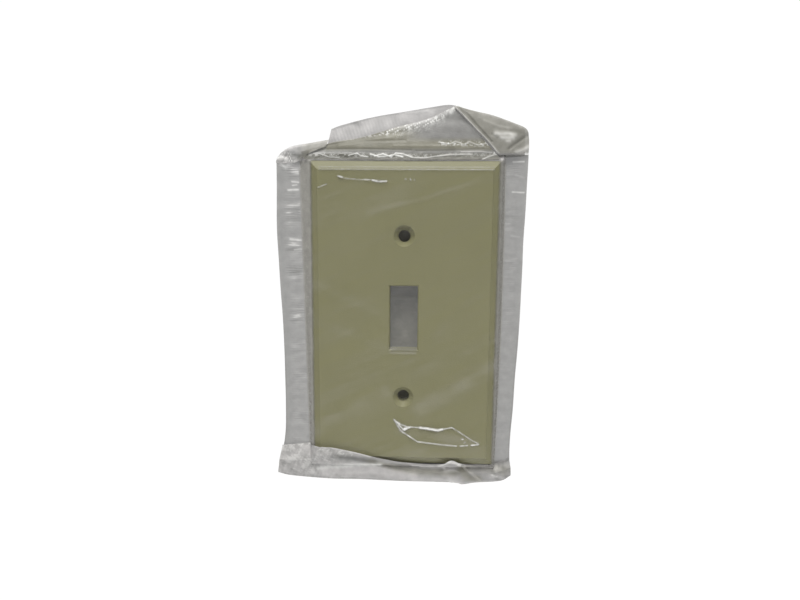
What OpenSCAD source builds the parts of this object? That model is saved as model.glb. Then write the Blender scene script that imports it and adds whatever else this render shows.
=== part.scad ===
// One-gang toggle wall plate, sealed in a clear film pouch with its two mounting screws.
// It stands as it would on a wall: +Z is up, +X is to the right and the front faces -Y.
// The origin is midway between the two screw holes, on the plate's back plane.

/* [Plate] */
// Width of the plate
plate_w = 69.85; // [55:0.05:90]
// Height of the plate
plate_h = 114.3; // [94:0.1:140]
// Depth from the back plane to the front face
plate_depth = 5.6; // [4.6:0.1:7]
// Thickness of the front wall
face_t = 2.2; // [1.6:0.1:2.8]
// Thickness of the side walls at the back
rim_t = 2.4; // [1.6:0.1:3.2]
// Height of the upright side wall behind the bevel
side_h = 3; // [2:0.1:3.6]
// Width of the bevel around the face
bevel_w = 3; // [2:0.1:4]
// Height of the small rounded step inside the bevel
step_h = 0.5; // [0.3:0.05:0.8]
// Radius where the side wall turns into the bevel
edge_r = 0.6; // [0.3:0.1:1]

/* [Toggle slot] */
// Width of the slot
slot_w = 10.3; // [8:0.1:13]
// Height of the slot
slot_h = 23.8; // [19:0.1:29]
// Chamfer around the slot's front edge
slot_chamfer = 0.4; // [0.2:0.1:0.8]
// Thickness of the collar behind the slot
collar_t = 1.4; // [1:0.1:2]
// Distance that the collar stays short of the back plane
collar_recess = 0.8; // [0.4:0.1:1.2]
// Thickness of the ribs on the centre line
rib_t = 1.2; // [0.8:0.1:2]

/* [Screw holes] */
// Distance between the two hole centres
hole_spacing = 60.325; // [50:0.005:73]
// Diameter of the holes
hole_d = 4.4; // [3.9:0.1:5.3]
// Diameter of the countersinks at the front face
sink_d = 7.8; // [6.5:0.1:9.4]
// Angle of the countersinks and of the screw heads
sink_angle = 82; // [80:1:90]
// Diameter of the bosses behind the holes
boss_d = 9; // [7.5:0.1:11]

/* [Screws] */
// Outer diameter of the thread
screw_d = 3.5; // [2.9:0.1:3.8]
// Distance between two threads
thread_pitch = 0.8; // [0.6:0.05:1]
// Depth of the thread
thread_depth = 0.4; // [0.25:0.05:0.5]
// Length from the head's rim to the tip
screw_len = 12.7; // [10:0.1:15.3]
// Diameter of the oval head
head_d = 6.6; // [5.5:0.1:7.9]
// Height of the head's dome
dome_h = 1.1; // [0.8:0.1:1.6]
// Width of the driver slot
driver_w = 1; // [0.8:0.1:1.3]
// Depth of the driver slot, below the dome's top
driver_depth = 1.4; // [1:0.1:1.8]
// Gap between a loose screw and what is around it
screw_gap = 0.4; // [0.3:0.05:0.8]

/* [Pouch] */
// Thickness of the film's solids
film_t = 0.3; // [0.2:0.05:0.4]
// Gap between the front film and the plate
film_gap = 0.3; // [0.2:0.05:0.6]
// Free width between the plate's side and the weld
side_slack = 2.6; // [1.5:0.1:5]
// Free height between the plate's end and the end of the flat pouch
end_slack = 2.8; // [1.5:0.1:5]
// Width of the left welded margin
left_seal_w = 10.4; // [6:0.1:14]
// Width of the right welded margin
right_seal_w = 7.3; // [6:0.1:14]
// Thickness of the welded margins
seal_t = 0.5; // [0.3:0.1:0.8]
// Slant of the rear film, from the weld in to its flat panel
rear_slant = 4; // [3:0.1:6]

/* [Spare film above the plate] */
// Thickness of the creased spare film
flap_t = 0.8; // [0.6:0.1:1.2]
// Gap that the spare film's fold line needs
fold_gap = 0.8; // [0.8:0.1:1.5]
// Height of the low left corner
flap_left_h = 3; // [2:0.1:6]
// Height of the step up from the low corner
shoulder_h = 8.4; // [6:0.1:12]
// Distance of the step from the plate's left side
shoulder_in = 9; // [5:0.1:15]
// Height of the creased peak
peak_h = 16.6; // [12:0.1:20]
// Distance of the peak from the plate's right side
peak_in = 17.6; // [10:0.1:25]
// Height of the right corner
flap_right_h = 8; // [4:0.1:10]

/* [Crumpled film below the plate] */
// Thickness of the gathered film
fold_t = 1.5; // [1:0.1:2.5]
// Height of the gathered film at the left
fold_left_h = 3.7; // [2.5:0.1:5]
// Height of the gathered film at its deepest place
fold_deep_h = 7.1; // [5:0.1:9]
// Distance of the deepest place from the plate's right side
fold_deep_in = 11.5; // [8:0.1:20]
// How far the gathered film flares out past the left margin
fold_flare = 1.8; // [0:0.1:3]
// Width of the film that laps up over the plate's lower left corner
lap_w = 34; // [25:0.1:41]
// Height of that lap above the plate's lower edge
lap_h = 6.6; // [4:0.1:9]
// Thickness of that lap
lap_t = 0.4; // [0.3:0.1:0.8]

/* [Hidden] */
$fn = 96;
// Cuts run this far past the faces that they open
past = 1;
// Straight pieces in each small rounded edge
arc_steps = 5;
// Gap between two layers of film that lie on each other
layer_gap = 0.1;

half_w = plate_w / 2;
half_h = plate_h / 2;
bevel_rise = plate_depth - step_h - side_h;
bevel_normal = atan2(bevel_w, bevel_rise);
hollow_depth = plate_depth - face_t;
weld_x = half_w + side_slack;
weld_z = half_h + end_slack;
left_edge = -weld_x - left_seal_w;
right_edge = weld_x + right_seal_w;
// The rear film stands off the plate by what the screw heads need
rear_gap = head_d + 2 * screw_gap - hollow_depth;
screw_y = (rear_gap - hollow_depth) / 2;
screw_z = -half_h + rim_t + screw_gap + head_d / 2;
// Middle of the hollow bay beside the slot's collar
bay_x = (slot_w / 2 + collar_t + half_w - rim_t) / 2;
cone_h = (head_d - screw_d) / 2 / tan(sink_angle / 2);
flap_z = weld_z + fold_gap;

// Points along an arc, as [distance along the side, depth]
function arc(centre, r, from, to) = [
    for (i = [0 : arc_steps])
        let (a = from + (to - from) * i / arc_steps)
            centre + r * [cos(a), sin(a)]
];

// A right-hand half outline, completed by its mirror image
function both_halves(half) = concat(
    half,
    [for (i = [len(half) - 1 : -1 : 0]) [-half[i].x, half[i].y]]
);

// The plate's outside: side wall, rounded edge, bevel, small step, face
function plate_outline(half) = both_halves(concat(
    [[half, 0]],
    arc([half - edge_r, side_h], edge_r, 0, bevel_normal),
    arc([half - bevel_w - step_h, plate_depth - step_h], step_h, 0, 90)
));

// The hollow behind the plate
function hollow_outline(half) = both_halves([
    [half - rim_t, -past],
    [half - rim_t, side_h - rim_t / 3],
    [half - rim_t / 2 - bevel_w, hollow_depth]
]);

// Film drawn over the plate, standing off it by a gap
function drawn_outline(half, slack, gap) = [
    [half + slack, 0],
    [half + gap, side_h + gap],
    [half + gap / 2 - bevel_w, plate_depth + gap]
];

// Film behind the plate, from the weld to a flat panel
function rear_outline(half, slack, depth) = [
    [half + slack, 0],
    [half + slack - rear_slant, depth]
];

// The same half outline, carried past the weld's plane so that it cuts the tray open
function opened(half_outline) = concat([[half_outline[0].x, -past]], half_outline);

// A prism along Z crossed with a prism along X, so that the corners come out mitred.
// Depth runs towards -Y when side is -1 and towards +Y when it is 1.
module crossed(across_x, across_z, side) {
    length = 2 * (plate_w + plate_h);
    intersection() {
        linear_extrude(height = length, center = true)
            polygon([for (p = across_x) [p.x, side * p.y]]);
        rotate([90, 0, 90])
            linear_extrude(height = length, center = true)
                polygon([for (p = across_z) [side * p.y, p.x]]);
    }
}

// A flat sheet in the wall's plane, from an outline in X and Z
module sheet(points, thickness) {
    rotate([90, 0, 0])
        linear_extrude(height = thickness, center = true)
            polygon(points);
}

// Film of one thickness, as a tray between an outer and an inner pair of half outlines
module film_tray(outer_x, outer_z, inner_x, inner_z, side) {
    difference() {
        crossed(both_halves(outer_x), both_halves(outer_z), side);
        crossed(both_halves(opened(inner_x)), both_halves(opened(inner_z)), side);
    }
}

// Film drawn over the plate at a gap, which meets the weld's plane this far out
module drawn_film(gap, thickness, spread) {
    film_tray(
        drawn_outline(half_w, side_slack + spread, gap + thickness),
        drawn_outline(half_h, end_slack + spread, gap + thickness),
        drawn_outline(half_w, side_slack + spread - thickness, gap),
        drawn_outline(half_h, end_slack + spread - thickness, gap),
        -1
    );
}

module at_holes() {
    for (side = [-1, 1])
        translate([0, 0, side * hole_spacing / 2])
            rotate([90, 0, 0])
                children();
}

module screw_hole() {
    sink_depth = (sink_d - hole_d) / 2 / tan(sink_angle / 2);
    translate([0, 0, -past])
        cylinder(h = plate_depth + 2 * past, d = hole_d);
    translate([0, 0, plate_depth - sink_depth])
        cylinder(h = sink_depth, d1 = hole_d, d2 = sink_d);
    translate([0, 0, plate_depth])
        cylinder(h = past, d = sink_d);
}

// A block behind the face, centred on the holes' line, that stops short of the back plane
module block_behind_face(width, height) {
    translate([-width / 2, -plate_depth, -height / 2])
        cube([width, plate_depth - collar_recess, height]);
}

// The hollow behind the face, which leaves the ribs, the slot's collar and the bosses standing
module hollow() {
    difference() {
        crossed(hollow_outline(half_w), hollow_outline(half_h), -1);
        block_behind_face(rib_t, plate_h);
        block_behind_face(slot_w + 2 * collar_t, slot_h + 2 * collar_t);
        at_holes()
            cylinder(h = plate_depth, d = boss_d);
    }
}

// The chamfer's slope, carried past the front face
function chamfer_outline(half) = both_halves([
    [half, plate_depth - slot_chamfer],
    [half + slot_chamfer + past, plate_depth + past]
]);

module toggle_slot() {
    translate([-slot_w / 2, -plate_depth - past, -slot_h / 2])
        cube([slot_w, plate_depth + 2 * past, slot_h]);
    crossed(chamfer_outline(slot_w / 2), chamfer_outline(slot_h / 2), -1);
}

module wall_plate() {
    color("#d9cfa8")
        difference() {
            crossed(plate_outline(half_w), plate_outline(half_h), -1);
            hollow();
            toggle_slot();
            at_holes()
                screw_hole();
        }
}

// Outline of the threaded shank from the cone down to the tip, as [radius, distance]
function thread_outline(from, to) =
    let (turns = floor((to - from) / thread_pitch))
        concat(
            [[0, from]],
            [for (i = [0 : turns - 1], point = [0, 1])
                [screw_d / 2 - point * thread_depth, from + (i + point / 2) * thread_pitch]],
            [[screw_d / 2 - thread_depth, to], [0, to]]
        );

// Head's rim at the origin, tip along +Z
module screw() {
    dome_r = (head_d * head_d / 4 + dome_h * dome_h) / (2 * dome_h);
    difference() {
        union() {
            intersection() {
                translate([0, 0, dome_r - dome_h])
                    sphere(r = dome_r);
                translate([0, 0, -dome_h])
                    cylinder(h = dome_h, d = head_d);
            }
            cylinder(h = cone_h, d1 = head_d, d2 = screw_d);
            rotate_extrude()
                polygon(thread_outline(cone_h, screw_len));
        }
        translate([-head_d, -driver_w / 2, -dome_h - past])
            cube([2 * head_d, driver_w, driver_depth + past]);
    }
}

// The screw lies across the bay with its head towards the plate's left side
module lying_screw(x) {
    length = screw_len + dome_h;
    translate([x - length / 2 + dome_h, screw_y, screw_z])
        rotate([0, 90, 0])
            screw();
}

module left_screw() {
    color("#cfc6a4")
        lying_screw(-bay_x);
}

module right_screw() {
    color("#cfc6a4")
        lying_screw(bay_x);
}

module back_film() {
    color("#b9bcc0", 0.5)
        film_tray(
            rear_outline(half_w, side_slack, rear_gap + film_t),
            rear_outline(half_h, end_slack, rear_gap + film_t),
            rear_outline(half_w, side_slack - film_t, rear_gap),
            rear_outline(half_h, end_slack - film_t, rear_gap),
            1
        );
}

module front_film() {
    color("#c6c9cc", 0.4)
        drawn_film(film_gap, film_t, 0);
}

module seal(inner_x, outer_x) {
    sheet([[inner_x, -weld_z], [outer_x, -weld_z], [outer_x, weld_z], [inner_x, weld_z]], seal_t);
}

module left_seal() {
    color("#a9acb0")
        seal(-weld_x, left_edge);
}

module right_seal() {
    color("#a9acb0")
        seal(weld_x, right_edge);
}

// The gathered strip below the plate, with a lap up over the lower left corner
module bottom_fold() {
    lap_reach = 2 * plate_depth;
    color("#b4b6b8") {
        translate([0, -fold_t / 6, 0])
            sheet(
                [
                    [left_edge, -weld_z],
                    [left_edge - fold_flare, -weld_z - fold_left_h],
                    [half_w - fold_deep_in, -weld_z - fold_deep_h],
                    [right_edge, -weld_z - fold_left_h],
                    [right_edge, -weld_z]
                ],
                fold_t
            );
        intersection() {
            drawn_film(film_gap + film_t + layer_gap, lap_t, lap_t + layer_gap);
            translate([0, -lap_reach / 2 - seal_t / 2 - layer_gap, 0])
                sheet(
                    [
                        [left_edge, -half_h + lap_h],
                        [-half_w, -half_h + lap_h],
                        [-half_w + lap_w, -half_h],
                        [-half_w + lap_w, -weld_z - lap_t],
                        [left_edge, -weld_z - lap_t]
                    ],
                    lap_reach
                );
        }
    }
}

// The creased spare film above the plate, which folds about its lower edge
module top_flap() {
    color("#b9bcc0", 0.6)
        sheet(
            [
                [left_edge, flap_z],
                [left_edge + flap_left_h, flap_z + flap_left_h],
                [shoulder_in - half_w - 1, flap_z + flap_left_h + 1],
                [shoulder_in - half_w, flap_z + shoulder_h],
                [half_w - peak_in, flap_z + peak_h],
                [right_edge - flap_left_h, flap_z + flap_right_h],
                [right_edge, flap_z]
            ],
            flap_t
        );
}

wall_plate();
left_screw();
right_screw();
back_film();
front_film();
left_seal();
right_seal();
bottom_fold();
top_flap();
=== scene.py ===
import math

import bpy
import numpy as np
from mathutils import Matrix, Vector


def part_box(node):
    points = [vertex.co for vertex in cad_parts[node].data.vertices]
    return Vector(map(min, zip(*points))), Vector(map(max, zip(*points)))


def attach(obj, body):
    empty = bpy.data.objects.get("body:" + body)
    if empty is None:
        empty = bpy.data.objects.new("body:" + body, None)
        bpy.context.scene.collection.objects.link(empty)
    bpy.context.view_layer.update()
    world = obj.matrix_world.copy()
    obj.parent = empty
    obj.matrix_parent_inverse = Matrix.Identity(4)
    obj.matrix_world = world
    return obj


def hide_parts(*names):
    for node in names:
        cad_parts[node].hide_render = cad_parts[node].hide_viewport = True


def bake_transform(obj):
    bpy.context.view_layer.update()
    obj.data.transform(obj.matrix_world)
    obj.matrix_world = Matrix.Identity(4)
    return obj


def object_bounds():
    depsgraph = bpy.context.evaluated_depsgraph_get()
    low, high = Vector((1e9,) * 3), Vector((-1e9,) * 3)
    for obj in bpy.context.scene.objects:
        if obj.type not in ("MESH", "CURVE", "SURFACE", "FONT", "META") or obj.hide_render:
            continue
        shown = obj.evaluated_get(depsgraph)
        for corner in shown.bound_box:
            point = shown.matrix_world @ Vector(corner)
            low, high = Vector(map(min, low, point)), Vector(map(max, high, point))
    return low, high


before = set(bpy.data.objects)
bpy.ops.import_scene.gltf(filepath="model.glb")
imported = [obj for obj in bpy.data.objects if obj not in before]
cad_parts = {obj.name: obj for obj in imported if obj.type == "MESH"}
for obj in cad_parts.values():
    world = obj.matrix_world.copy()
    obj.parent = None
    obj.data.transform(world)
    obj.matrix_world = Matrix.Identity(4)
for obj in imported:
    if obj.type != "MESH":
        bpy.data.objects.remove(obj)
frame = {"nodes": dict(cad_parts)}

# Shapes are worked out in millimetres in the CAD frame: +X right, +Z up, the front faces -Y.
MM = 0.001
CAD_LOW, CAD_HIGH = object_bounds()


def span(node):
    """Lowest and highest corner of a CAD node, in millimetres."""
    low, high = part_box(node)
    return np.array(low) / MM, np.array(high) / MM


PLATE_LOW, PLATE_HIGH = span("wall_plate")
HALF_W, HALF_H = PLATE_HIGH[0], PLATE_HIGH[2]
FACE = -PLATE_LOW[1]
LEFT_OUTER, LEFT_INNER = span("left_seal")[0][0], span("left_seal")[1][0]
RIGHT_INNER, RIGHT_OUTER = span("right_seal")[0][0], span("right_seal")[1][0]
REAR = span("back_film")[1][1]

# The film passes this far outside the plate's sides
SIDE_CLEARANCE = 0.15
# How far past the plate's ends the flat pouch reaches
END_SLACK = 2.8

# ---------------------------------------------------------------- light, floor and camera


def aim(obj, target):
    """Turns a light so that it faces a point."""
    toward = Vector(target) - obj.location
    obj.rotation_euler = toward.to_track_quat("-Z", "Y").to_euler()


def area_light(name, place, target, width, height, power, colour):
    data = bpy.data.lights.new(name, "AREA")
    data.shape = "RECTANGLE"
    data.size = width
    data.size_y = height
    data.energy = power
    data.color = colour
    obj = bpy.data.objects.new(name, data)
    bpy.context.scene.collection.objects.link(obj)
    obj.location = place
    aim(obj, target)


def sun_light(name, toward, strength, angle, colour):
    """A soft sun, which lights the floor and the packet evenly."""
    data = bpy.data.lights.new(name, "SUN")
    data.energy = strength
    data.angle = math.radians(angle)
    data.color = colour
    obj = bpy.data.objects.new(name, data)
    bpy.context.scene.collection.objects.link(obj)
    obj.location = toward
    aim(obj, (0, 0, 0))


def make_world():
    """White where the camera sees past the object, a soft grey room for everything else."""
    world = bpy.data.worlds.new("studio")
    bpy.context.scene.world = world
    world.use_nodes = True
    nodes, links = world.node_tree.nodes, world.node_tree.links
    nodes.clear()
    out = nodes.new("ShaderNodeOutputWorld")
    mix = nodes.new("ShaderNodeMixShader")
    path = nodes.new("ShaderNodeLightPath")
    room = nodes.new("ShaderNodeBackground")
    room.inputs["Color"].default_value = (0.97, 0.98, 1.0, 1)
    room.inputs["Strength"].default_value = 0.22
    white = nodes.new("ShaderNodeBackground")
    white.inputs["Color"].default_value = (1, 1, 1, 1)
    white.inputs["Strength"].default_value = 1.02
    links.new(path.outputs["Is Camera Ray"], mix.inputs["Fac"])
    links.new(room.outputs[0], mix.inputs[1])
    links.new(white.outputs[0], mix.inputs[2])
    links.new(mix.outputs[0], out.inputs["Surface"])


def make_floor():
    """A plain pale floor, well below the packet, which hangs as on a wall."""
    drop = 0.55
    radius = 1.3
    bpy.ops.mesh.primitive_circle_add(
        vertices=96, radius=radius, fill_type="NGON", location=(0, 0, CAD_LOW.z - drop)
    )
    floor = bpy.context.object
    floor.name = "floor"
    material = bpy.data.materials.new("floor_paint")
    material.use_nodes = True
    nodes, links = material.node_tree.nodes, material.node_tree.links
    shader = nodes["Principled BSDF"]
    noise = nodes.new("ShaderNodeTexNoise")
    noise.inputs["Scale"].default_value = 3.0
    ramp = nodes.new("ShaderNodeValToRGB")
    ramp.color_ramp.elements[0].color = (0.93, 0.93, 0.93, 1)
    ramp.color_ramp.elements[1].color = (0.96, 0.96, 0.96, 1)
    links.new(noise.outputs["Fac"], ramp.inputs["Fac"])
    links.new(ramp.outputs["Color"], shader.inputs["Base Color"])
    shader.inputs["Roughness"].default_value = 0.9
    shader.inputs["Emission Color"].default_value = (1, 1, 1, 1)
    shader.inputs["Emission Strength"].default_value = 0.14
    floor.data.materials.append(material)


def make_camera():
    """The photograph's viewpoint: close, a little above the middle and tilted down."""
    focal_px = 550
    image_px = 800
    data = bpy.data.cameras.new("camera")
    data.sensor_width = 36.0
    data.lens = data.sensor_width * focal_px / image_px
    data.clip_start = 0.01
    data.clip_end = 20.0
    obj = bpy.data.objects.new("camera", data)
    bpy.context.scene.collection.objects.link(obj)
    obj.location = (0.0053, -0.2065, 0.0331)
    obj.rotation_euler = (math.radians(90 - 7.47), math.radians(-0.40), math.radians(1.96))
    bpy.context.scene.camera = obj


# ---------------------------------------------------------------- materials


def new_material(name):
    material = bpy.data.materials.new(name)
    material.use_nodes = True
    tree = material.node_tree
    return material, tree.nodes, tree.links, tree.nodes["Principled BSDF"]


def object_noise(nodes, links, scale, detail, stretch=(1, 1, 1)):
    """Noise in the object's own coordinates, which are the CAD frame's."""
    place = nodes.new("ShaderNodeTexCoord")
    mapping = nodes.new("ShaderNodeMapping")
    mapping.inputs["Scale"].default_value = stretch
    noise = nodes.new("ShaderNodeTexNoise")
    noise.inputs["Scale"].default_value = scale
    noise.inputs["Detail"].default_value = detail
    links.new(place.outputs["Object"], mapping.inputs["Vector"])
    links.new(mapping.outputs["Vector"], noise.inputs["Vector"])
    return noise.outputs["Fac"]


def ranged(nodes, links, value, low, high):
    """Stretches noise, which keeps near its middle, to run from low to high."""
    noise_low, noise_high = 0.3, 0.7
    node = nodes.new("ShaderNodeMapRange")
    node.inputs["From Min"].default_value = noise_low
    node.inputs["From Max"].default_value = noise_high
    node.inputs["To Min"].default_value = low
    node.inputs["To Max"].default_value = high
    links.new(value, node.inputs["Value"])
    return node.outputs["Result"]


def blended(nodes, links, factor, first, second, mode="MIX"):
    """Colour mix; the factor is a number or a socket, and each colour a tuple or a socket."""
    mix = nodes.new("ShaderNodeMix")
    mix.data_type = "RGBA"
    mix.blend_type = mode
    if isinstance(factor, float):
        mix.inputs["Factor"].default_value = factor
    else:
        links.new(factor, mix.inputs["Factor"])
    for socket, value in ((mix.inputs[6], first), (mix.inputs[7], second)):
        if isinstance(value, tuple):
            socket.default_value = (*value, 1)
        else:
            links.new(value, socket)
    return mix.outputs[2]


def bumped(nodes, links, height, strength, distance, shader):
    bump = nodes.new("ShaderNodeBump")
    bump.inputs["Strength"].default_value = strength
    bump.inputs["Distance"].default_value = distance
    links.new(height, bump.inputs["Height"])
    links.new(bump.outputs["Normal"], shader.inputs["Normal"])


def moulded_plastic():
    """Ivory thermoset: faint mottling, a fine orange peel and a soft gloss."""
    material, nodes, links, shader = new_material("ivory_plastic")
    clouds = object_noise(nodes, links, 45, 3)
    grain = object_noise(nodes, links, 1400, 2)
    colour = blended(nodes, links, clouds, (0.256, 0.247, 0.130), (0.286, 0.275, 0.150))
    links.new(colour, shader.inputs["Base Color"])
    links.new(ranged(nodes, links, clouds, 0.4, 0.48), shader.inputs["Roughness"])
    bumped(nodes, links, grain, 0.12, 0.0002, shader)
    shader.inputs["Specular IOR Level"].default_value = 0.3
    return material


def screw_finish(name, paint_end):
    """Ivory paint on the head, up to paint_end along X, and bright zinc on the shank."""
    material, nodes, links, shader = new_material(name)
    place = nodes.new("ShaderNodeTexCoord")
    split = nodes.new("ShaderNodeSeparateXYZ")
    links.new(place.outputs["Object"], split.inputs["Vector"])
    shank = nodes.new("ShaderNodeMapRange")
    shank.inputs["From Min"].default_value = paint_end * MM
    shank.inputs["From Max"].default_value = (paint_end + 0.25) * MM
    links.new(split.outputs["X"], shank.inputs["Value"])
    metal = shank.outputs["Result"]
    wear = object_noise(nodes, links, 900, 4)
    paint = blended(nodes, links, wear, (0.58, 0.54, 0.38), (0.68, 0.64, 0.47))
    zinc = blended(nodes, links, wear, (0.50, 0.50, 0.48), (0.72, 0.72, 0.70))
    links.new(blended(nodes, links, metal, paint, zinc), shader.inputs["Base Color"])
    links.new(metal, shader.inputs["Metallic"])
    links.new(ranged(nodes, links, wear, 0.24, 0.42), shader.inputs["Roughness"])
    bumped(nodes, links, wear, 0.15, 0.0001, shader)
    return material


def film(name, roughness, fine_bump):
    """Clear film: the mesh's tint attribute gives its colour, with painted shade and painted
    highlights in it, and how milky it is.
    """
    material, nodes, links, shader = new_material(name)
    tint_and_painted_light = nodes.new("ShaderNodeAttribute")
    tint_and_painted_light.attribute_type = "GEOMETRY"
    tint_and_painted_light.attribute_name = "tint_and_painted_light"
    clouds = object_noise(nodes, links, 380, 4)
    fine = object_noise(nodes, links, 900, 3, (1, 1, 2.2))
    shade = ranged(nodes, links, clouds, 0, 1)
    mottle = blended(nodes, links, shade, (0.91, 0.91, 0.91), (1.08, 1.08, 1.08))
    colour = blended(nodes, links, 1.0, tint_and_painted_light.outputs["Color"], mottle, "MULTIPLY")
    links.new(colour, shader.inputs["Base Color"])
    links.new(tint_and_painted_light.outputs["Alpha"], shader.inputs["Alpha"])
    links.new(ranged(nodes, links, fine, roughness, roughness + 0.16), shader.inputs["Roughness"])
    bumped(nodes, links, fine, fine_bump, 0.0003, shader)
    shader.inputs["IOR"].default_value = 1.5
    shader.inputs["Specular IOR Level"].default_value = 0.3
    return material


# ---------------------------------------------------------------- shapes of the film


def ripple(x, z, seed, length, turn=0.0, spread=math.pi):
    """Soft waves, about a length apart, around 0; turn and spread give their directions."""
    draw = np.random.default_rng(seed)
    total = np.zeros_like(x)
    waves = 7
    for _ in range(waves):
        angle = draw.uniform(-spread / 2, spread / 2) + turn
        pitch = 2 * math.pi / (length * draw.uniform(0.7, 1.5))
        total += np.sin(pitch * (x * math.cos(angle) + z * math.sin(angle)) + draw.uniform(0, 6.28))
    return total / math.sqrt(2 * waves)


def crumple(x, z, seed, length, folds=6):
    """Flat facets that meet in sharp creases, about a length across, around 0."""
    draw = np.random.default_rng(seed)
    total = np.zeros_like(x)
    warp = 0.35 * length
    for _ in range(folds):
        angle = draw.uniform(0, math.pi)
        across = x * math.cos(angle) + z * math.sin(angle)
        across = across + warp * ripple(x, z, draw.integers(1e6), 3 * length)
        turns = across / (length * draw.uniform(0.8, 2.2)) + draw.uniform(0, 1)
        total += 4 * np.abs(turns - np.floor(turns) - 0.5) - 1
    return total / math.sqrt(folds)


def near_line(x, z, points, width):
    """1 on the line through the points, fading out over about a width."""
    nearest = np.full(x.shape, np.inf)
    for (ax, az), (bx, bz) in zip(points[:-1], points[1:]):
        dx, dz = bx - ax, bz - az
        t = np.clip(((x - ax) * dx + (z - az) * dz) / (dx * dx + dz * dz), 0, 1)
        nearest = np.minimum(nearest, (x - ax - t * dx) ** 2 + (z - az - t * dz) ** 2)
    return np.exp(-nearest / width**2)


def smooth_step(value, low, high):
    """0 up to low, 1 from high, and an even curve between them."""
    t = np.clip((value - low) / (high - low), 0, 1)
    return t * t * (3 - 2 * t)


def through(points, count):
    """count points along a smooth curve through the given ones, spaced evenly."""
    p = np.array(points, float)
    ends = np.vstack([2 * p[0] - p[1], p, 2 * p[-1] - p[-2]])
    steps = 24
    dense = []
    for a, b, c, d in zip(ends[:-3], ends[1:-2], ends[2:-1], ends[3:]):
        t = np.linspace(0, 1, steps, endpoint=False)[:, None]
        dense.append(
            0.5 * (2 * b + (c - a) * t + (2 * a - 5 * b + 4 * c - d) * t**2
                   + (3 * b - a - 3 * c + d) * t**3)
        )
    dense = np.vstack([*dense, p[-1:]])
    run = np.concatenate([[0], np.cumsum(np.linalg.norm(np.diff(dense, axis=0), axis=1))])
    at = np.linspace(0, run[-1], count)
    return np.stack([np.interp(at, run, dense[:, k]) for k in range(p.shape[1])], axis=1)


# Colours of the film: its middle, pale and dark, which also serve as painted light and painted
# shade, the plate's colour painted in as show-through, reflection and shade, and white for painted
# glints
GREY = np.array([0.300, 0.298, 0.290])
PALE = np.array([0.72, 0.70, 0.69])
DARK = np.array([0.11, 0.11, 0.095])
OLIVE = np.array([0.235, 0.225, 0.165])
WHITE = np.array([0.97, 0.97, 0.94])


class Sheet:
    """A sheet of film as a grid of points, with what its tint attribute needs.

    milk is how opaque it is, tone runs from dark at -1 to pale at 1 and carries painted light and
    painted shade as well as random variation, and olive and white are the shares of those two
    colours:
    the plate's colour painted in as show-through, reflection and shade, and painted white glints.
    """

    def __init__(self, x, y, z):
        self.x, self.y, self.z = x, y, z
        self.milk = np.full(x.shape, 0.9)
        self.tone = np.zeros_like(x)
        self.olive = np.zeros_like(x)
        self.white = np.zeros_like(x)

    def strokes(self, rows):
        """Creases and folds: points, width, lift towards the viewer, tone as painted light and
        shade, and white as painted highlight.
        """
        grain = 1 + 0.22 * ripple(self.x, self.z, 97, 1.8)
        for points, width, lift, tone, white in rows:
            field = near_line(self.x, self.z, points, width)
            self.y -= lift * field
            self.tone += tone * field
            self.white = np.maximum(self.white, white * grain * field)

    def sparkle(self, points, width, seed, size, amount):
        """Broken white glints, about a size apart, scattered along a crease."""
        along = near_line(self.x, self.z, points, width)
        grain = ripple(self.x, self.z, seed, size) + ripple(self.x, self.z, seed + 1, 2.7 * size)
        specks = smooth_step(grain + 0.6 * ripple(self.x, self.z, seed + 2, 7 * size), -0.1, 0.8)
        self.white = np.maximum(self.white, amount * along * specks)

    def colours(self):
        """Colour and opacity of every point."""
        tone = np.clip(self.tone, -1, 1)[..., None]
        colour = np.where(tone > 0, GREY + (PALE - GREY) * tone, GREY + (GREY - DARK) * tone)
        olive = np.clip(self.olive, 0, 1)[..., None]
        colour = colour + (OLIVE * (1 + 0.5 * tone) - colour) * olive
        white = np.clip(self.white, 0, 1)[..., None]
        colour = colour + (WHITE - colour) * white
        alpha = np.maximum(np.clip(self.milk, 0, 1), white[..., 0])
        return np.concatenate([colour, alpha[..., None]], axis=-1)

    def build(self, name, material, replaced):
        """The sheet as an object, with its tint; it may replace a CAD node."""
        rows, columns = self.x.shape
        points = np.stack([self.x, self.y, self.z], axis=-1).reshape(-1, 3) * MM
        index = np.arange(rows * columns).reshape(rows, columns)
        faces = np.stack(
            [index[:-1, :-1], index[:-1, 1:], index[1:, 1:], index[1:, :-1]], axis=-1
        ).reshape(-1, 4)
        mesh = bpy.data.meshes.new(name)
        mesh.from_pydata(points.tolist(), [], faces.tolist())
        tint_and_painted_light = mesh.attributes.new("tint_and_painted_light", "FLOAT_COLOR", "POINT")
        tint_and_painted_light.data.foreach_set("color", self.colours().reshape(-1).astype(np.float32))
        mesh.shade_smooth()
        mesh.materials.append(material)
        obj = bpy.data.objects.new(name, mesh)
        bpy.context.scene.collection.objects.link(obj)
        if replaced:
            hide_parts(replaced)
        return obj


def ruled(lower, upper, along, across):
    """A surface swept from one curve to another: x, y, z, and the share of the way up."""
    a, b = through(lower, along), through(upper, along)
    share = np.linspace(0, 1, across)[:, None, None]
    p = a[None] * (1 - share) + b[None] * share
    up = np.repeat(np.linspace(0, 1, across)[:, None], along, axis=1)
    return p[..., 0], p[..., 1], p[..., 2], up


def knots(z, pairs):
    """A soft curve near the (z, offset) pairs."""
    ordered = sorted(pairs)
    heights = [p[0] for p in ordered]
    offsets = [p[1] for p in ordered]
    soft = [np.interp(z + shift, heights, offsets) for shift in (-4, -2, 0, 2, 4)]
    return sum(soft) / len(soft)


def left_weld(z):
    """The left weld runs a little askew of the plate."""
    return LEFT_INNER - 0.1 - 0.022 * z


def right_weld(z):
    return RIGHT_INNER - 0.7 - 0.0002 * (z - 18) ** 2


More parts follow.
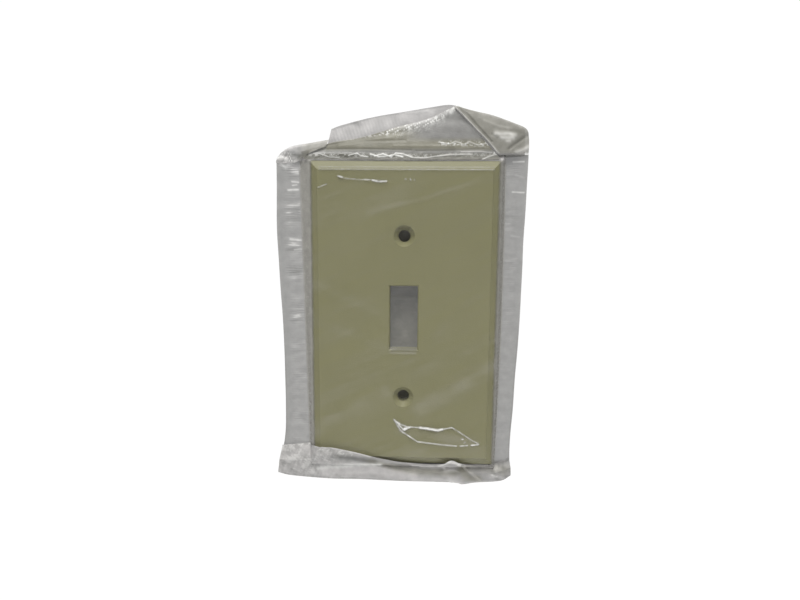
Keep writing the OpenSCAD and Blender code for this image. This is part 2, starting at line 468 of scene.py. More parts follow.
def left_outline(z):
    rounded = 3.0 * smooth_step(z, 57.2, 59.6)
    return LEFT_OUTER + rounded + knots(z, [
        (62, 0.4), (50, 0.2), (31, -0.1), (19, 0.4), (-2, 1.5), (-18, 1.9), (-34, 2.0),
        (-47, 1.7), (-54, 0.6), (-62, -1.6),
    ])


def right_outline(z):
    return RIGHT_OUTER + knots(z, [
        (65, 0), (55, 0), (44, -0.3), (26, -0.8), (8, -0.9), (-10, -1.4), (-23, -2.1),
        (-39, -2.7), (-48, -3.2), (-56, -3.4), (-64, -2.4),
    ])


# Depth of the film where it leaves the plate's sides, and over its face
SIDE_DEPTH = 3.4
OVER_FACE = FACE + 0.4


def drawn_depth(past_side, slack):
    """Depth of film drawn over the plate, by distance past the plate's side."""
    inside = np.interp(
        past_side, [-9, -3.3, SIDE_CLEARANCE], [OVER_FACE, OVER_FACE - 0.1, SIDE_DEPTH]
    )
    outside = SIDE_DEPTH * np.clip((slack - past_side) / (slack - SIDE_CLEARANCE), 0, 1)
    return np.where(past_side > SIDE_CLEARANCE, outside, inside)


def wrap_depth(x, z):
    """Depth of the front film anywhere over the plate."""
    slack = np.where(x < 0, -left_weld(z) - HALF_W, right_weld(z) - HALF_W)
    across = drawn_depth(np.abs(x) - HALF_W, slack)
    up = drawn_depth(np.abs(z) - HALF_H, END_SLACK)
    soft = 0.12
    low = np.minimum(across, up)
    return low - soft * np.log(1 + np.exp(-np.abs(across - up) / soft))


# Creases in the film over the face; their white is painted highlight
FACE_STREAKS = [
    # points, width, lift, tone, white
    # The flattened blister below the lower hole: a painted highlight on its upper rim
    ([(-3.4, -38.8), (-1.2, -40.6), (1.6, -41.6), (8.4, -42.0), (12.2, -42.8), (16, -42.2),
      (18.6, -41.6)], 0.3, 0.25, 0, 0.85),
    ([(6.5, -41.9), (9.5, -42.2), (13.4, -42.8), (15, -42.4)], 0.48, 0.2, 0, 1.3),
    # its tail to the lower right, and its thin lower rim
    ([(18.6, -41.6), (22.1, -43.8), (26.3, -46.6), (28.8, -47.8)], 0.28, 0.2, 0, 0.7),
    ([(-3.4, -38.8), (-2.0, -41.2), (-0.8, -43.2), (5.6, -47.4), (9.3, -47.9), (14.2, -48.4),
      (20.4, -48.9)], 0.3, 0.2, 0, 0.85),
    ([(21.8, -48.9), (24.6, -48.6)], 0.3, 0.15, 0, 0.8),
    ([(26, -48.5), (28.6, -48.2)], 0.32, 0.15, 0, 0.95),
    # the knot at its left end
    ([(-1.6, -40.8), (0.6, -43.0), (2.6, -41.8)], 0.34, 0.25, 0, 1.0),
    ([(0.2, -42.6), (2.4, -41.9)], 0.5, 0.2, 0, 1.1),
    ([(-2.6, -39.6), (-1.2, -40.6)], 0.45, 0.2, 0, 1.0),
    ([(22.4, -46.2), (22.9, -46.2)], 0.34, 0.1, 0, 0.8),
    ([(23.4, -47.4), (23.8, -47.4)], 0.3, 0.1, 0, 0.7),
    # Two thin lines of painted light along the plate's upper bevel, drawn on the film
    ([(-31, 54.7), (32, 54.7)], 0.24, 0.05, 0, 0.36),
    ([(-31, 53.75), (32, 53.75)], 0.24, 0.05, 0, 0.5),
    # Short painted glints above the upper hole
    ([(-24, 51.4), (-21.4, 50.6), (-17.1, 50.2), (-11, 50.0), (-6.3, 49.7)], 0.22, 0.15, 0, 0.65),
    ([(-24, 51.4), (-22.2, 50.9)], 0.3, 0.15, 0, 1.0),
    ([(-14.4, 50.2), (-12.8, 50.1)], 0.28, 0.1, 0, 0.8),
    ([(-11.6, 50.0), (-9.4, 49.5), (-6.6, 49.6)], 0.32, 0.15, 0, 1.1),
    ([(-31.2, 47.4), (-28.2, 48.5)], 0.26, 0.1, 0, 0.6),
    ([(0.2, 50.4), (0.5, 50.3)], 0.28, 0.1, 0, 0.7),
    ([(2.0, 50.5), (2.2, 50.1)], 0.28, 0.1, 0, 0.7),
    ([(3.4, 50.2), (3.6, 50.2)], 0.28, 0.1, 0, 0.5),
]

SOFT_FOLDS = [
    # points, width, how milky
    ([(-33, -44), (-30, -41), (-7, -28)], 2.6, 0.13),
    ([(-30, -33), (-16, -24), (2, -16)], 2.2, 0.05),
    ([(6, -34), (20, -27), (34, -17)], 3.2, 0.12),
    ([(2, -24), (16, -15), (33, -8)], 2.4, 0.05),
    ([(-13, 38.6), (6, 43.6), (20, 47.8), (35, 52.4)], 1.0, 0.08),
    ([(-30, 36), (-20, 40), (4, 47)], 4.4, 0.05),
    ([(-32, 12), (-18, 6), (-6, 1)], 2.4, 0.06),
    ([(-33, -2), (-20, -6), (-8, -11)], 2.0, 0.05),
    ([(12, -6), (24, 6), (33, 12)], 2.0, 0.05),
    ([(-34, -54), (-10, -53), (30, -53)], 4.0, 0.09),
    # Over the blister
    ([(0, -43), (8, -45), (20, -46.2), (26, -47.4)], 2.2, 0.14),
    # Painted highlight: a milky, pale band across the lower lip of the slot
    ([(-4.6, -13.1), (4.6, -13.1)], 0.45, 0.3),
]


def make_front_wrap(material):
    """The front wall of the pouch, drawn tight over the plate."""
    rows, columns = 380, 250
    z = np.linspace(-HALF_H - 2.6, HALF_H + 1.7, rows)[:, None] + np.zeros((1, columns))
    share = np.linspace(0, 1, columns)[None] + np.zeros((rows, 1))
    x = left_weld(z) + (right_weld(z) - left_weld(z)) * share
    wrap = Sheet(x, -wrap_depth(x, z), z)
    tight = smooth_step(HALF_W + 1 - np.abs(x), 0, 6) * smooth_step(HALF_H + 1 - np.abs(z), 0, 6)
    wrap.y -= tight * (0.07 + 0.07 * ripple(x, z, 3, 9, turn=0.9, spread=0.9))
    wrap.y -= tight * 0.04 * ripple(x, z, 4, 2.6, turn=0.9, spread=0.7)
    folds = np.zeros_like(x)
    for points, width, amount in SOFT_FOLDS:
        folds += 0.8 * amount * near_line(x, z, points, width)
    folds *= 0.7 + 0.3 * ripple(x, z, 9, 11)
    folds += 0.018 * ripple(x, z, 5, 14, turn=2.0, spread=0.8)
    folds += 0.014 * ripple(x, z, 8, 3.4, turn=2.0, spread=0.9)
    haze = 0.075 + np.clip(folds, -0.04, 1)
    # Painted shade: the film is made milky grey over the slot's lit lower inner wall
    lower_wall = near_line(x, z, [(-4.4, -11.5), (4.4, -11.5)], 0.75)
    # Painted shadow over the upper rim of the upper hole: milkier, darker and olive
    shaded_rim = near_line(x, z, [(-1.5, 32.8), (1.5, 32.8)], 0.9)
    haze += 0.4 * shaded_rim
    edge = smooth_step(np.abs(x), HALF_W - 1.6, HALF_W + 0.1)
    end = smooth_step(np.abs(z), HALF_H - 0.2, HALF_H + 0.6)
    outside = np.maximum(edge, end)
    wrap.milk = haze + (0.88 - haze) * np.maximum(outside, 0.55 * lower_wall)
    # Painted light: the film's walls past the plate's sides are made paler, the left more than the
    # right
    wrap.tone = (np.where(x < 0, 0.5, 0.3) + 0.06 * ripple(x, z, 6, 4)) * outside
    wrap.tone += (1 - outside) * (np.clip(10 * folds, -0.3, 0.75) - 1.2 * shaded_rim)
    # Painted light on the film's walls past the plate's ends
    wrap.tone += 0.35 * smooth_step(np.abs(z), HALF_H - 0.4, HALF_H + 0.2)
    weld = np.where(x < 0, -left_weld(z), right_weld(z))
    at_weld = np.exp(-((weld - np.abs(x)) / 0.5) ** 2) * (1 - end)
    wrap.tone += np.where(x < 0, 0.2, 0.4) * at_weld
    # Painted light on the downward-facing wall at the plate's lower right corner
    lower_right = smooth_step(-z, HALF_H - 0.3, HALF_H + 0.6) * smooth_step(x, 18, 24)
    wrap.tone += 0.8 * lower_right
    wrap.olive += 0.35 * lower_right
    # The plate's colour painted into the film along its sides, and into the painted shadow on the
    # hole's rim
    wrap.olive = 0.4 * edge * (1 - end) + 0.6 * shaded_rim
    wrap.strokes(FACE_STREAKS)
    return wrap.build("front_wrap", material, "front_film")


def make_rear_wrap(material):
    """The rear wall of the pouch, milky near its welds, and made milky, dark and olive behind the
    slot and the holes as painted shade.
    """
    rows, columns = 240, 160
    z = np.linspace(-HALF_H - 2.6, HALF_H + 2.6, rows)[:, None] + np.zeros((1, columns))
    share = np.linspace(0, 1, columns)[None] + np.zeros((rows, 1))
    x = left_weld(z) + (right_weld(z) - left_weld(z)) * share
    slant = 3.6
    side = np.minimum(x - left_weld(z), right_weld(z) - x)
    end = HALF_H + END_SLACK - np.abs(z)
    inward = np.minimum(side, end)
    depth = (REAR - 0.15) * np.sin(np.clip(inward / slant, 0, 1) * math.pi / 2) ** 0.8
    loose = smooth_step(inward, 0.5, 8)
    y = depth + loose * (0.07 * ripple(x, z, 11, 11) + 0.05 * crumple(x, z, 12, 9))
    wrap = Sheet(x, y, z)
    middle = smooth_step(18 - np.abs(x), 0, 10) * smooth_step(48 - np.abs(z), 0, 12)
    bores = near_line(x, z, [(-1, 29.5), (1, 29.5)], 4.5)
    bores += near_line(x, z, [(-1, -31), (1, -31)], 4.5)
    rim = smooth_step(5 - inward, 0, 3)
    # Painted shadow: the plate's own thickness shades the film behind the top of the slot
    shaded = smooth_step(z, 5.9, 7.6) * smooth_step(13.4 - z, 0, 1)
    shaded *= smooth_step(6.4 - np.abs(x), 0, 1)
    # Painted shade: milkier and olive in the middle, darker and olive behind the holes
    wrap.milk = 0.42 + 0.5 * np.maximum(middle, rim * 0.9) + 0.1 * bores
    wrap.tone = 0.02 - 0.004 * z + 0.10 * ripple(x, z, 13, 6) - 0.5 * bores - 1.0 * shaded
    wrap.olive = 1.0 * bores + 0.9 * shaded + 0.55 * middle
    return wrap.build("rear_wrap", material, "back_film")


LEFT_BARS = [
    # Painted highlights on the brightest puckers, and on the crumpled top of the margin
    ([(-42, 49.8), (-39.6, 49.6)], 0.3, 0.1, 0.3, 0.5),
    ([(-43.5, 46.7), (-39.8, 46.9)], 0.35, 0.1, 0.3, 0.6),
    ([(-41.8, 48.4), (-40.2, 48.6)], 0.25, 0.1, 0.3, 0.4),
    ([(-43, 28.6), (-39, 28.2)], 0.35, 0.1, 0.3, 0.5),
    ([(-41.5, 24.6), (-39, 24.8)], 0.3, 0.1, 0.2, 0.35),
    ([(-46.6, 57.0), (-44.2, 55.2), (-42.6, 56.6)], 0.8, 0.2, 0.5, 0.5),
    ([(-42, 55.6), (-38.4, 55.0)], 1.4, 0.1, 0.25, 0.08),
]

RIGHT_BARS = [
    # Painted highlights on the right margin's puckers
    ([(39.2, 57.2), (43.2, 57.3)], 0.25, 0.1, 0.3, 0.5),
    ([(39.4, 46.4), (43.6, 46.2)], 0.25, 0.1, 0.3, 0.4),
    ([(40.4, 52.4), (43.4, 51.6)], 0.4, 0.05, 0.14, 0.03),
    ([(39.6, 30.4), (42.4, 30.0)], 0.35, 0.05, 0.12, 0.05),
]


def make_margin(name, inner, outer, node, material, seed, crinkled, bars):
    """A welded side margin, from the weld line to its cut edge; level puckers run off the weld."""
    rows, columns = 620, 44
    top = HALF_H + 2.6
    z = np.linspace(-HALF_H - 3.5, top, rows)[:, None] + np.zeros((1, columns))
    share = np.linspace(0, 1, columns)[None] + np.zeros((rows, 1))
    x = inner(z) + (outer(z) - inner(z)) * share
    wave = 0.25 * ripple(x, z, seed, 22, turn=math.pi / 2, spread=0.5)
    y = smooth_step(share, 0.1, 1.0) * wave
    margin = Sheet(x, y, z)
    margin.milk[:] = 0.88
    near_weld = smooth_step(share, 0.0, 0.1) * smooth_step(1 - share, 0.12, 0.55)
    height = crinkled[0] + (crinkled[1] - crinkled[0]) * smooth_step(z, -25, 20)
    level = crumple(x * 0.22, z, seed + 1, 1.5, folds=5)
    fine = ripple(x * 0.35, z, seed + 2, 0.9, turn=math.pi / 2, spread=0.7)
    patches = smooth_step(ripple(x, z, seed + 4, 13, turn=math.pi / 2, spread=0.6), -0.9, 0.9)
    field = near_weld * height * patches * (level + 0.5 * fine)
    # Painted highlight: the pucker ridges are made paler, and white where they stand highest
    margin.y -= 0.09 * field
    margin.tone += 0.16 * field + 0.08 * near_weld * crinkled[1] / 2
    margin.white = 0.42 * smooth_step(field, 0.85, 2.0)
    margin.tone += 0.05 * ripple(x, z, seed + 3, 6, turn=math.pi / 2, spread=0.5)
    edge = np.exp(-((share - 1) * abs(outer(0.0) - inner(0.0)) / 0.5) ** 2)
    low = smooth_step(-z, -10, 30)
    margin.tone += edge * (0.12 - 0.4 * low)
    margin.olive = 0.3 * np.exp(-(share / 0.05) ** 2)
    margin.strokes(bars)
    return margin.build(name, material, node)


def make_foot(material):
    """The front side of the gathered film below the plate."""
    lower = [
        (-49.6, 0.2, -63.6), (-44.1, 0.1, -64.8), (-28.9, 0, -65.8), (-16.2, 0, -65.8),
        (-0.3, 0, -66.2), (19.5, 0, -66.3), (23.4, -0.4, -67.0), (28.5, 0, -66.2),
        (38.3, 0, -65.2), (42.3, 0, -63.0),
    ]
    upper = [
        (-47.4, 0, -51.9), (-38, 0, -51.0), (-34, 0, -50.2), (-27.8, 0, -50.1), (-20.1, 0, -51.4),
        (-12.4, 0, -53.2), (-6.7, 0, -54.7), (-0.9, 0, -56.1), (10.5, 0, -57.2), (15, 0, -56.6),
        (18.6, 0, -54.6), (21.6, 0, -55.9), (24.6, 0, -56.9), (30, 0, -57.2), (35.5, 0, -56.7),
        (41.4, 0, -55.2),
    ]
    x, y, z, up = ruled(lower, upper, 360, 90)
    front = np.interp(up, [0, 0.12, 0.55, 1], [0, 1.5, 3.4, 1.0])
    over = wrap_depth(np.clip(x, -HALF_W - 2, HALF_W + 1.2), np.maximum(z, -HALF_H - 2.7))
    inside = smooth_step(x, -39.5, -35.5) * smooth_step(-x, -41, -38)
    y = -np.maximum(front * 0.7, (over + 0.45) * inside * smooth_step(z, -61.5, -58.5) + 0.35)
    y = y * smooth_step(up, -0.02, 0.1)
    foot = Sheet(x, y, z)
    foot.milk = 0.93 - 0.8 * smooth_step(x, 22, 32) * smooth_step(up, 0.72, 1.0)
    off_rim = smooth_step(up, 0.03, 0.15)
    left = smooth_step(-x, 14, 30)
    right = smooth_step(x, 31, 36)
    foot.y -= off_rim * left * (0.16 * crumple(x, z * 0.55, 21, 2.6) + 0.06 * crumple(x, z, 22, 1.3))
    foot.y -= off_rim * (1 - left) * 0.12 * ripple(x, z, 23, 5, turn=1.2, spread=0.8)
    foot.y -= off_rim * right * 0.2 * crumple(x, z, 25, 2.6)
    foot.tone += 0.5 + 0.06 * ripple(x, z, 27, 3)
    foot.tone += left * 0.17 * crumple(x, z * 0.5, 24, 1.7)
    foot.tone += right * (0.16 * crumple(x, z, 26, 2.2) - 0.26)
    foot.sparkle([(-44, -54), (-40, -60), (-30, -56)], 5.0, 28, 1.3, 0.32 * left)
    foot.sparkle([(-44, -52.5), (-38, -51), (-28, -51), (-20, -52.6)], 1.0, 29, 1.1, 0.45)
    foot.strokes([
        # Painted highlight on the upper edge of the lap over the plate's corner
        ([(-38, -50.6), (-34, -49.9), (-27.8, -50.2), (-20.1, -51.6), (-12.4, -53.4)],
         0.4, 0.2, 0.35, 0.25),
        # Smooth grey lens, and a painted highlight on the pale fold under it
        ([(-26, -53.8), (-19, -54.6), (-11, -56.2)], 1.5, 0.35, -0.8, 0),
        ([(-33, -60.6), (-24, -59.6), (-16, -58.6), (-9, -58.3)], 1.15, 0.2, 0.35, 0.72),
        ([(-30, -62.5), (-14, -61.0), (-4, -61.8), (4, -63.2)], 2.3, 0.2, 0.6, 0.05),
        # Painted shade: a dark diagonal where the film dives under the plate's edge
        ([(-15, -55.2), (-9, -57.4), (-3, -60.0), (3, -61.4), (14, -62.0), (22, -61.4)],
         0.8, -0.2, -0.15, 0),
        ([(-4, -57.4), (2, -58.6), (6, -59.2)], 0.7, -0.15, -0.28, 0),
        # Painted light on the pale fold just below the plate's lower edge, and on the pale rim below
        # the dark one
        ([(4, -58.6), (9, -59.1), (16, -59.0)], 0.75, 0.3, 0.5, 0.2),
        ([(4, -64.6), (12, -64.9), (19, -65.0)], 0.9, 0.2, 0.3, 0.05),
        # The lump and the folds that run from it to the right corner, with painted highlights and
        # painted shade
        ([(14.2, -57.8), (16.2, -56.2), (18.4, -55.4), (20.4, -56.0), (22.0, -57.0)],
         0.75, 0.9, 0.45, 0.55),
        ([(16.5, -59.6), (20, -59.2)], 1.1, 0.4, 0.12, 0),
        ([(17, -61.8), (19.6, -63.6), (21.4, -65.6)], 1.6, 0.5, 0.4, 0.12),
        ([(18.6, -65.4), (19.4, -66)], 0.6, 0.3, 0.3, 0.3),
        ([(21.3, -56.8), (24.4, -59.4), (27.5, -62.2), (30.5, -65)], 0.5, 0.6, 0.15, 0.08),
        ([(23, -59.0), (25, -61.6), (26.5, -64.0)], 0.9, -0.1, -0.15, 0),
        ([(27, -60.6), (31.4, -62.0)], 2.0, -0.15, -0.2, 0),
        ([(33, -59.8), (36, -60.2), (39, -59.4)], 0.9, 0.2, 0.0, 0.02),
        ([(25, -57.4), (30, -57.9), (35, -57.7)], 0.7, -0.1, -0.2, 0),
        ([(34, -62.6), (38, -63.4)], 1.6, 0.4, 0.2, 0.06),
        ([(34.6, -62.0), (36.6, -62.6)], 0.45, 0.2, 0.2, 0.35),
    ])
    # Painted light: a paler line just under the plate's lower right edge
    foot.tone += 0.5 * near_line(x, z, [(24, -58.2), (35.5, -58.2)], 0.9)
    foot.olive += 0.6 * near_line(x, z, [(23, -60.5), (26, -63.5), (29, -64)], 1.9)
    foot.olive += 0.55 * near_line(x, z, [(-12, -56.2), (-3, -59.6), (4, -61), (20, -61.6)], 1.6)
    foot.olive += 0.35 * near_line(x, z, [(24, -58.4), (32, -58.8), (40, -60)], 2.0)
    return foot.build("foot_film", material, "bottom_fold")


def make_foot_back(material):
    """The rear side of the gathered film."""
    lower = [
        (-49.6, 0.2, -63.6), (-44.1, 0.3, -64.8), (-28.9, 0.3, -65.8), (-16.2, 0.3, -65.8),
        (-0.3, 0.3, -66.2), (19.5, 0.3, -66.3), (28.5, 0.3, -66.1), (38.3, 0.3, -65.2),
        (42.3, 0.2, -63.0),
    ]
    upper = [(-47.2, 0.5, -53), (-36, 1.4, -57.6), (0, 1.4, -58), (36, 1.4, -57.6), (41.4, 0.5, -56)]
    x, y, z, up = ruled(lower, upper, 220, 36)
    y = y + np.sin(up * math.pi) * (1.0 + 0.4 * crumple(x, z, 31, 3))
    back = Sheet(x, y, z)
    back.milk[:] = 0.9
    back.tone = 0.3 + 0.35 * crumple(x, z, 32, 2.4)
    return back.build("foot_film_back", material, None)


def make_flap(material):
    """The spare film above the plate, in four creased pieces."""
    rear_low = [(-30, 0.8, 58.6), (0, 0.8, 58.4), (30, 0.8, 58.6), (43.5, 0.4, 59.2)]
    rear_top = [
        (-27.2, 0.6, 68.8), (-23.2, 0.6, 70.3), (-12.2, 0.6, 73.0), (-1.3, 0.5, 74.8),
        (9.5, 0.3, 76.5), (16.7, 0, 77.2), (23.9, 0, 75.1), (31.2, 0, 73.3), (38.4, 0, 70.9),
        (43.2, 0, 68.8),
    ]
    x, y, z, _ = ruled(rear_low, rear_top, 260, 70)
    rear = Sheet(x, y + 0.12 * ripple(x, z, 41, 7), z)
    rear.tone += 0.85 + 0.1 * ripple(x, z, 42, 5)
    ribs = np.sin((x + 0.35 * z) * 2 * math.pi / 1.3)
    left_part = near_line(x, z, [(-25, 67), (-16, 69)], 3.2)
    ribs *= left_part + 0.45 * near_line(x, z, [(-14, 70), (-2, 72.5)], 2)
    rear.y += 0.07 * ribs
    # Painted shading: the tone rises and falls with the ribs
    rear.tone += 0.07 * ribs
    # Painted shade along two creases, and a painted highlight on a third
    rear.strokes([
        ([(-20, 71.2), (-17, 70.4)], 1.0, -0.1, -0.4, 0),
        ([(-27, 68.8), (-12.2, 73.0), (9.5, 76.4), (16.7, 77.2)], 0.4, 0.05, -0.35, 0),
        ([(0, 74.5), (8, 75.2)], 0.5, 0.1, 0.15, 0.15),
    ])
    rear_obj = rear.build("flap_rear", material, "top_flap")

    low = [(-36.5, -3.3, 57.4), (-20, -3.6, 57.2), (0, -3.7, 57.2), (20, -3.6, 57.3),
           (34.5, -3.3, 57.6)]
    top = [(-38.4, -0.6, 60.6), (-26.6, -0.6, 63.9), (-16.4, -0.6, 65.6), (-9, -0.7, 67.6),
           (-2, -0.8, 69.6), (8, -1.0, 72.2), (17.4, -1.3, 76.3)]
    x, y, z, up = ruled(low, top, 380, 110)
    along = np.linspace(0, 1, x.shape[1])[None]
    y = y - 0.7 * np.sin(up * math.pi) * smooth_step(along, 0.1, 0.5)
    front = Sheet(x, y, z)
    band = smooth_step(60.6 - z, 0, 1.4)
    front.y -= band * 0.07 * crumple(x, z * 1.6, 43, 3.2)
    front.y -= (1 - band) * 0.10 * ripple(x, z, 45, 6, turn=1.3, spread=0.8)
    front.milk = 0.93 - 0.55 * smooth_step(58.0 - z, 0, 0.7)
    # Painted light: the film is made paler along its lower edge
    front.tone += 0.35 * smooth_step(58.7 - z, 0, 0.7)
    # Painted reflection: the plate's colour on the flap, less on the grey facet; the tone terms
    # below add painted light on the facet and painted shade and light along the folds
    grey_side = smooth_step(x + 0.6 * (z - 66), -4, 9) * smooth_step(z, 63.4, 66)
    front.olive += (0.85 - 0.8 * grey_side) * smooth_step(z, 59.8, 62.0)
    front.olive += 0.45 * band
    front.tone += -0.04 + 0.1 * grey_side + 0.05 * ripple(x, z * 2.5, 50, 7)
    front.tone += 0.14 * smooth_step(x, -18, 0) * (1 - grey_side)
    front.tone -= 0.10 * band
    front.tone -= 1.0 * near_line(x, z, [(-37, 58.4), (-26, 58.5), (-18, 58.6)], 1.2)
    front.tone -= 0.3 * near_line(x, z, [(-17, 58.8), (-11, 58.9)], 1.0)
    front.tone += 0.16 * near_line(x, z, [(-4, 62.2), (13, 61.9)], 1.4)
    front.tone += 0.3 * near_line(x, z, [(19, 61.9), (27, 61.9)], 1.6)
    front.strokes([
        # Folded upper edge, then the crease that climbs to the peak, with painted highlights
        ([(-38.4, 60.6), (-26.6, 63.9), (-16.4, 65.6), (-9, 67.6)], 0.45, 0.2, 0.35, 0.12),
        ([(-24, 62.6), (-10, 65.2), (2, 66.6)], 0.9, 0.15, 0.16, 0),
        ([(-6, 67.9), (4, 70.4), (9, 71.9), (15, 74.6)], 0.8, 0.2, 0.45, 0.3),
        ([(16.2, 74.2), (17.2, 76.0)], 0.8, 0.3, 0.3, 0.75),
        ([(14.6, 73.6), (15.2, 75.2)], 0.5, 0.2, 0.3, 0.6),
        # Painted highlights: squiggles where the film leaves the plate's upper edge
        ([(-36, 60.0), (-31, 59.7), (-27.6, 58.4), (-24, 58.2)], 0.2, 0.1, 0.25, 0.45),
        ([(-33.5, 60.2), (-23, 59.7), (-19.5, 59.9)], 0.18, 0.1, 0.25, 0.35),
        ([(-20.4, 59.0), (-17.5, 59.8), (-16, 58.8), (-13.5, 58.4)], 0.26, 0.15, 0.3, 0.7),
        ([(-12.5, 59.4), (-9.4, 58.4), (-6, 58.7), (-4, 59.2), (-2.4, 58.8), (-1, 58.4)],
         0.32, 0.2, 0.3, 0.95),
        ([(-11, 58.6), (-8, 59.5), (-5, 58.3), (-3.4, 59.7), (-0.6, 59.4), (2.6, 58.2)],
         0.28, 0.2, 0.3, 0.95),
        ([(2, 58.2), (7, 58.0), (11, 58.6), (16, 59.2), (24, 59.4)], 0.24, 0.15, 0.3, 0.5),
        ([(20, 60.2), (27, 60.4), (31, 60.0)], 0.2, 0.1, 0.25, 0.35),
        ([(27.8, 57.6), (30, 58.6), (32.6, 59.4)], 0.26, 0.15, 0.25, 0.6),
        ([(31.8, 59.6), (33.0, 61.4)], 0.28, 0.15, 0.3, 0.7),
        ([(12, 63.6), (16, 63.0), (18, 63.9), (21, 62.8), (23, 63.8), (26, 62.6), (30, 63.4)],
         0.26, 0.12, 0.25, 0.35),
        # Shadowed folds
        ([(-34, 61.4), (-20, 61.4), (-8, 61.2), (2, 60.9)], 0.4, -0.1, -0.25, 0),
        ([(-30, 62.9), (-14, 64.2), (0, 64.4)], 0.5, -0.1, -0.14, 0),
        ([(4, 60.6), (16, 60.8), (28, 61.4)], 0.4, -0.1, -0.25, 0),
        ([(-4, 62.4), (12, 62.2), (20, 62.4)], 0.5, 0.1, 0.12, 0),
        ([(20, 72), (24, 68), (29, 63)], 0.9, -0.15, -0.12, 0),
    ])
    front.sparkle([(-7, 67.6), (4, 70.0), (10, 71.8), (16.6, 75.2)], 1.15, 47, 0.75, 1.1)
    front.sparkle([(-20, 65.4), (-8, 67.2)], 0.6, 53, 0.9, 0.6)
    front.sparkle([(-3, 66.6), (8, 69.0), (13, 71.6)], 1.4, 54, 0.8, 0.2)
    front.sparkle([(13, 63.4), (30, 63.0)], 0.8, 55, 0.8, 0.75)
    front.sparkle([(-36, 59.6), (-14, 59.2), (2, 58.9), (30, 59.4)], 0.8, 56, 0.8, 0.4)
    front_obj = front.build("flap_front", material, None)

    ridge = [(17.6, -1.8, 76.2), (20, -2.3, 73.8), (25, -2.8, 68.6), (30, -3.2, 63.6),
             (33.6, -3.2, 59.2)]
    rim = [(17.8, -0.6, 77.0), (23.9, -0.7, 75.2), (31.2, -0.8, 73.5), (38.4, -0.9, 71.0),
           (43.4, -0.9, 68.8), (44.6, -0.8, 65.5), (44.7, -0.5, 59.0)]
    x, y, z, up = ruled(ridge, rim, 240, 90)
    side = Sheet(x, y - 0.4 * np.sin(up * math.pi) + 0.1 * ripple(x, z, 48, 5), z)
    side.milk -= 0.8 * smooth_step(60.9 - z, 0, 1.7)
    # Painted reflection of the plate's colour
    side.olive += 0.5
    side.tone += 0.20 + 0.06 * ripple(x, z, 49, 3.5, turn=2.2, spread=0.8)
    side.strokes([
        # Painted light and painted shade on the two sides of the ridge
        ([(17.6, 76.2), (25, 68.6), (30, 63.6), (33.6, 59.6)], 0.4, 0.3, 0.35, 0.3),
        ([(19.4, 76.0), (22.4, 73.4), (27, 68.2), (31, 64)], 0.4, -0.25, -0.45, 0),
        ([(19, 76.6), (31.2, 73.2), (38.4, 70.7), (43.2, 68.6)], 0.5, 0.1, 0.2, 0.03),
        ([(28.4, 71.4), (33, 69.6), (38, 68.6)], 0.5, 0.1, 0.2, 0.05),
        # Painted light on the pale facet, painted shade on the dark roll, and painted light on the
        # curl beyond it
        ([(32.4, 66.6), (36.5, 66.7), (39.2, 66.3)], 0.8, 0.2, 0.5, 0.42),
        ([(34.2, 65.4), (38.6, 65.4)], 0.8, 0.2, 0.5, 0.42),
        ([(36.4, 64.2), (37.4, 64.2)], 0.6, 0.2, 0.4, 0.35),
        ([(37.4, 61.6), (40, 63.6), (44, 66.4)], 0.7, -0.35, -0.38, 0),
        ([(40.2, 60.4), (42.7, 61.2), (44.6, 62.4)], 0.75, 0.3, 0.4, 0.35),
        ([(31, 66.6), (34, 64.6)], 0.5, -0.15, -0.25, 0),
        ([(38, 68.2), (42.6, 67.4)], 0.8, -0.1, -0.3, 0),
    ])
    side_obj = side.build("flap_side", material, None)

    corner_low = [(-47.7, -0.5, 56.6), (-43, -0.9, 56.4), (-39.4, -1.3, 57.0), (-36, -2.4, 59.4),
                  (-29, -1.6, 62.4)]
    corner_top = [(-47.4, 0, 58.4), (-45.4, 0, 60.6), (-41.7, 0, 62.6), (-36, 0, 63.6),
                  (-27.9, 0, 65.0)]
    x, y, z, up = ruled(corner_low, corner_top, 180, 60)
    tip = smooth_step(-x, 40, 45)
    corner = Sheet(x, y - 0.3 * np.sin(up * math.pi) - 0.25 * tip * crumple(x, z, 51, 2.4), z)
    corner.tone += 0.25 + 0.4 * tip + 0.15 * crumple(x, z, 52, 2.0)
    corner.olive += 0.5 * smooth_step(x, -41, -35)
    # Painted shade in one crease and painted highlights along the folded edges
    corner.strokes([
        ([(-45.0, 60.0), (-41, 59.6), (-39, 58.8), (-36, 59.6)], 1.0, -0.25, -0.5, 0),
        ([(-48, 58.2), (-46, 58.6), (-43.5, 57.8)], 0.6, 0.3, 0.4, 0.6),
        ([(-45, 61), (-41.4, 62.3), (-36, 63.3), (-28, 64.7)], 0.55, 0.15, 0.5, 0.15),
    ])
    corner.sparkle([(-47, 58), (-44, 58.6), (-42, 57.4)], 1.6, 57, 0.9, 0.8)
    corner_obj = corner.build("flap_corner", material, None)
    return rear_obj, front_obj, side_obj, corner_obj


# ---------------------------------------------------------------- the whole scene

bpy.context.scene.view_settings.view_transform = "Standard"
make_world()
make_floor()
make_camera()
# The key lights everything from above, the glint gives the creases their shine, and the last
# light keeps the back readable
sun_light("key", (-0.03, -0.55, 1.0), 2.65, 35, (1.0, 0.99, 0.97))
area_light("glint", (0, -0.35, 0.6), (0, 0, 0), 0.25, 0.12, 0.4, (1, 1, 1))
area_light("behind", (0.1, 0.45, 0.35), (0, 0, 0), 0.4, 0.4, 1.1, (1, 1, 1))

PAINTED_LENGTH = 2.7
nodes = frame["nodes"]
nodes["wall_plate"].data.materials.clear()
nodes["wall_plate"].data.materials.append(moulded_plastic())
for node in ("left_screw", "right_screw"):
    head = span(node)[0][0]
    nodes[node].data.materials.clear()
    nodes[node].data.materials.append(screw_finish(node + "_finish", head + PAINTED_LENGTH))

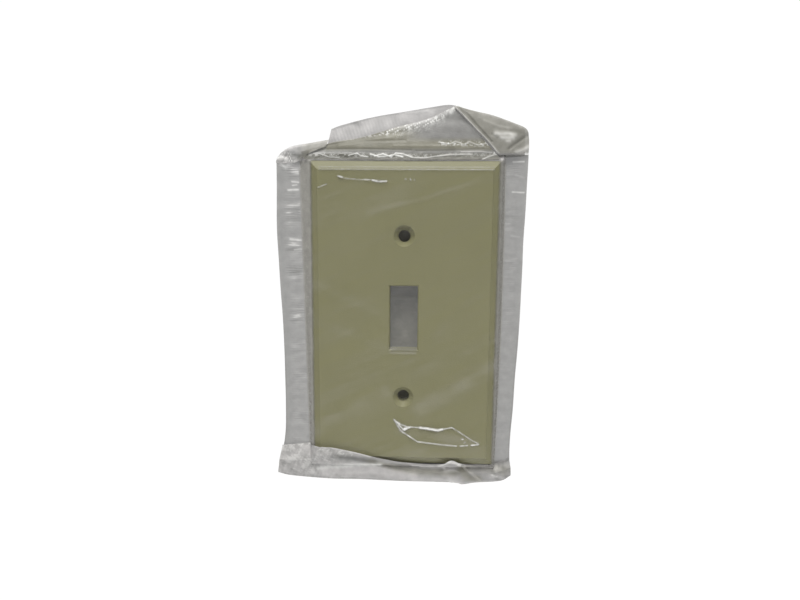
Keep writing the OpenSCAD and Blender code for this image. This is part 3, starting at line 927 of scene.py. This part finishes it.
clear = film("clear_wrap", 0.16, 0.12)
milky = film("creased_wrap", 0.3, 0.2)
welded = film("welded_wrap", 0.32, 0.25)

front_wrap = make_front_wrap(clear)
rear_wrap = make_rear_wrap(clear)
# Each margin's crinkles are of one height at its foot and of another at its top
left_margin = make_margin("left_margin", left_weld, left_outline, "left_seal", welded, 61,
                          (0.9, 1.8), LEFT_BARS)
right_margin = make_margin("right_margin", right_weld, right_outline, "right_seal", welded, 71,
                           (0.2, 0.7), RIGHT_BARS)
foot = make_foot(milky)
foot_back = make_foot_back(milky)
flap = make_flap(milky)

for piece in (front_wrap, rear_wrap, left_margin, right_margin, foot, foot_back):
    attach(piece, "packet")
for piece in flap:
    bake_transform(piece)
